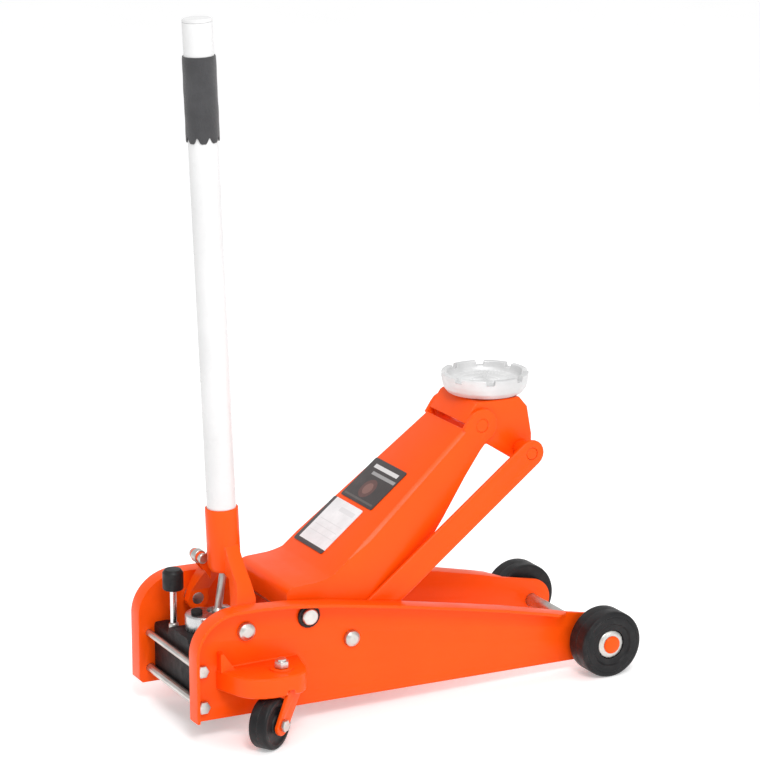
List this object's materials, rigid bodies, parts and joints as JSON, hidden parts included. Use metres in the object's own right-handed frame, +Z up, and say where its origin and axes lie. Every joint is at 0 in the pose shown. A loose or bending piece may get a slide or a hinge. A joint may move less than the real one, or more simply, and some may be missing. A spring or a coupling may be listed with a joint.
{
  "type": "hydraulic trolley jack",
  "caption": "Hydraulic trolley jack on castors with two side plates, a lift arm and links carrying a round notched saddle, and an upright pump handle.",
  "frame": {"origin": "on the floor, at the middle of the bounding box in X and on the middle plane in Y", "axes": "+Z up along the upright handle, +X towards the front wheels and the saddle, +Y across the jack to its left side"},
  "size_m": [0.6344, 0.3246, 0.8966],
  "materials": {
    "orange_paint": "gloss orange paint",
    "zinc_steel": "bright zinc plating",
    "black_paint": "black oxide",
    "black_casting": "satin black paint on casting",
    "machined_alloy": "machined",
    "chromed_steel": "hard chrome",
    "black_rubber": "matt",
    "black_plastic": "satin",
    "black_wheel": "satin moulded",
    "silver_casting": "silver paint on casting",
    "white_paint": "gloss white powder coat",
    "white_plastic": "satin",
    "grey_foam": "dense foam, matt",
    "dark_label": "printed film, no lettering",
    "light_label": "printed film, no lettering"
  },
  "bodies": {
    "chassis": {"side_plate_near": "orange_paint", "side_plate_far": "orange_paint", "caster_bracket_near": "orange_paint", "caster_bracket_far": "orange_paint", "kingpin_near": "zinc_steel", "kingpin_far": "zinc_steel", "shaft_ring_near": "black_paint", "shaft_ring_far": "black_paint", "link_bolt_near": "zinc_steel", "link_bolt_far": "zinc_steel", "yoke_bolt_near": "zinc_steel", "yoke_bolt_far": "zinc_steel", "axle_cap_near": "orange_paint", "axle_cap_far": "orange_paint", "hub_washer_near": "zinc_steel", "hub_washer_far": "zinc_steel", "tie_rod_upper": "zinc_steel", "tie_rod_lower": "zinc_steel", "front_axle": "zinc_steel", "arm_shaft": "zinc_steel", "hydraulic_unit": "black_casting", "pump_head": "machined_alloy", "ram_gland": "zinc_steel", "filler_plug": "black_rubber", "pump_collar": "zinc_steel"},
    "lift_arm": {"lift_arm": "orange_paint", "ram_pin": "zinc_steel", "head_pin": "orange_paint", "arm_label_dark": "dark_label", "arm_label_light": "light_label"},
    "link_near": {"link_near": "orange_paint"},
    "link_far": {"link_far": "orange_paint"},
    "saddle_head": {"saddle_bracket": "orange_paint", "link_top_pin_near": "orange_paint", "link_top_pin_far": "orange_paint"},
    "saddle": {"saddle": "silver_casting", "saddle_clip": "zinc_steel"},
    "ram": {"ram": "chromed_steel"},
    "pump_plunger": {"pump_plunger": "chromed_steel", "plunger_cap": "black_plastic"},
    "release_valve": {"release_valve_stem": "zinc_steel"},
    "yoke": {"handle_yoke": "orange_paint", "roller_pin": "zinc_steel", "retaining_screw": "zinc_steel"},
    "pump_roller": {"pump_roller": "zinc_steel"},
    "handle": {"handle_tube": "white_paint", "handle_drive_plug": "zinc_steel", "handle_grip": "grey_foam", "handle_end_cap": "white_plastic"},
    "drive_shaft": {"valve_drive_shaft": "zinc_steel"},
    "front_wheel_near": {"front_wheel_near": "black_wheel"},
    "front_wheel_far": {"front_wheel_far": "black_wheel"},
    "caster_near": {"caster_fork_near": "orange_paint", "caster_axle_near": "zinc_steel"},
    "caster_far": {"caster_fork_far": "orange_paint", "caster_axle_far": "zinc_steel"},
    "caster_wheel_near": {"caster_wheel_near": "black_wheel"},
    "caster_wheel_far": {"caster_wheel_far": "black_wheel"}
  },
  "joints": [
    {"name": "arm_lift", "type": "hinge", "parent": "chassis", "child": "lift_arm", "pos_m": [-0.15365, 0, 0.1435], "axis": [0, -1, 0], "range_deg": [-46.7, 22]},
    {"name": "link_near_swing", "type": "hinge", "parent": "chassis", "child": "link_near", "pos_m": [-0.09275, 0, 0.1035], "axis": [0, -1, 0], "range_deg": [-46.7, 22]},
    {"name": "link_far_swing", "type": "hinge", "parent": "chassis", "child": "link_far", "pos_m": [-0.09275, 0, 0.1035], "axis": [0, -1, 0], "range_deg": [-46.7, 22]},
    {"name": "head_level", "type": "hinge", "parent": "lift_arm", "child": "saddle_head", "pos_m": [0.11585, 0, 0.3482], "axis": [0, -1, 0], "range_deg": [-22, 46.7]},
    {"name": "saddle_spin", "type": "hinge", "parent": "saddle_head", "child": "saddle", "pos_m": [0.14935, 0, 0.38], "axis": [0, 0, 1], "continuous": true},
    {"name": "ram_slide", "type": "slide", "parent": "chassis", "child": "ram", "axis": [1, 0, 0], "range_m": [-0.0483, 0.0228]},
    {"name": "yoke_tilt", "type": "hinge", "parent": "chassis", "child": "yoke", "pos_m": [-0.24135, 0, 0.138], "axis": [0, -1, 0], "range_deg": [-4, 55]},
    {"name": "pump_stroke", "type": "slide", "parent": "chassis", "child": "pump_plunger", "axis": [0, 0, -1], "range_m": [-0.0023, 0.0309]},
    {"name": "handle_twist", "type": "hinge", "parent": "yoke", "child": "handle", "pos_m": [-0.22855, 0, 0.138], "axis": [-0.0373, 0, 0.9993], "range_deg": [0, 180]},
    {"name": "drive_shaft_turn", "type": "hinge", "parent": "yoke", "child": "drive_shaft", "pos_m": [-0.24135, 0, 0.138], "axis": [0.1669, 0, 0.986], "range_deg": [0, 180]},
    {"name": "valve_turn", "type": "hinge", "parent": "chassis", "child": "release_valve", "pos_m": [-0.24135, 0, 0.13], "axis": [0, 0, 1], "range_deg": [0, 180]},
    {"name": "roller_spin", "type": "hinge", "parent": "yoke", "child": "pump_roller", "pos_m": [-0.24835, 0.04, 0.202], "axis": [0, 1, 0], "continuous": true},
    {"name": "front_wheel_near_roll", "type": "hinge", "parent": "chassis", "child": "front_wheel_near", "pos_m": [0.27235, -0.111, 0.045], "axis": [0, 1, 0], "continuous": true},
    {"name": "front_wheel_far_roll", "type": "hinge", "parent": "chassis", "child": "front_wheel_far", "pos_m": [0.27235, 0.111, 0.045], "axis": [0, 1, 0], "continuous": true},
    {"name": "caster_near_swivel", "type": "hinge", "parent": "chassis", "child": "caster_near", "pos_m": [-0.20985, -0.1186, 0.07], "axis": [0, 0, 1], "range_deg": [-52, 166]},
    {"name": "caster_far_swivel", "type": "hinge", "parent": "chassis", "child": "caster_far", "pos_m": [-0.20985, 0.1186, 0.07], "axis": [0, 0, 1], "range_deg": [-52, 166]},
    {"name": "caster_near_roll", "type": "hinge", "parent": "caster_near", "child": "caster_wheel_near", "pos_m": [-0.23501, -0.13494, 0.033], "axis": [-0.5446, 0.8387, 0], "continuous": true},
    {"name": "caster_far_roll", "type": "hinge", "parent": "caster_far", "child": "caster_wheel_far", "pos_m": [-0.18469, 0.13494, 0.033], "axis": [0.5446, -0.8387, 0], "continuous": true}
  ],
  "couplings": [
    {"joint": "link_near_swing", "follows": "arm_lift", "ratio": 1},
    {"joint": "link_far_swing", "follows": "arm_lift", "ratio": 1},
    {"joint": "head_level", "follows": "arm_lift", "ratio": -1},
    {"joint": "ram_slide", "follows": "arm_lift", "m_per_rad": 0.0592},
    {"joint": "pump_stroke", "follows": "yoke_tilt", "m_per_rad": 0.0321},
    {"joint": "drive_shaft_turn", "follows": "handle_twist", "ratio": 1},
    {"joint": "valve_turn", "follows": "handle_twist", "ratio": 1}
  ]
}
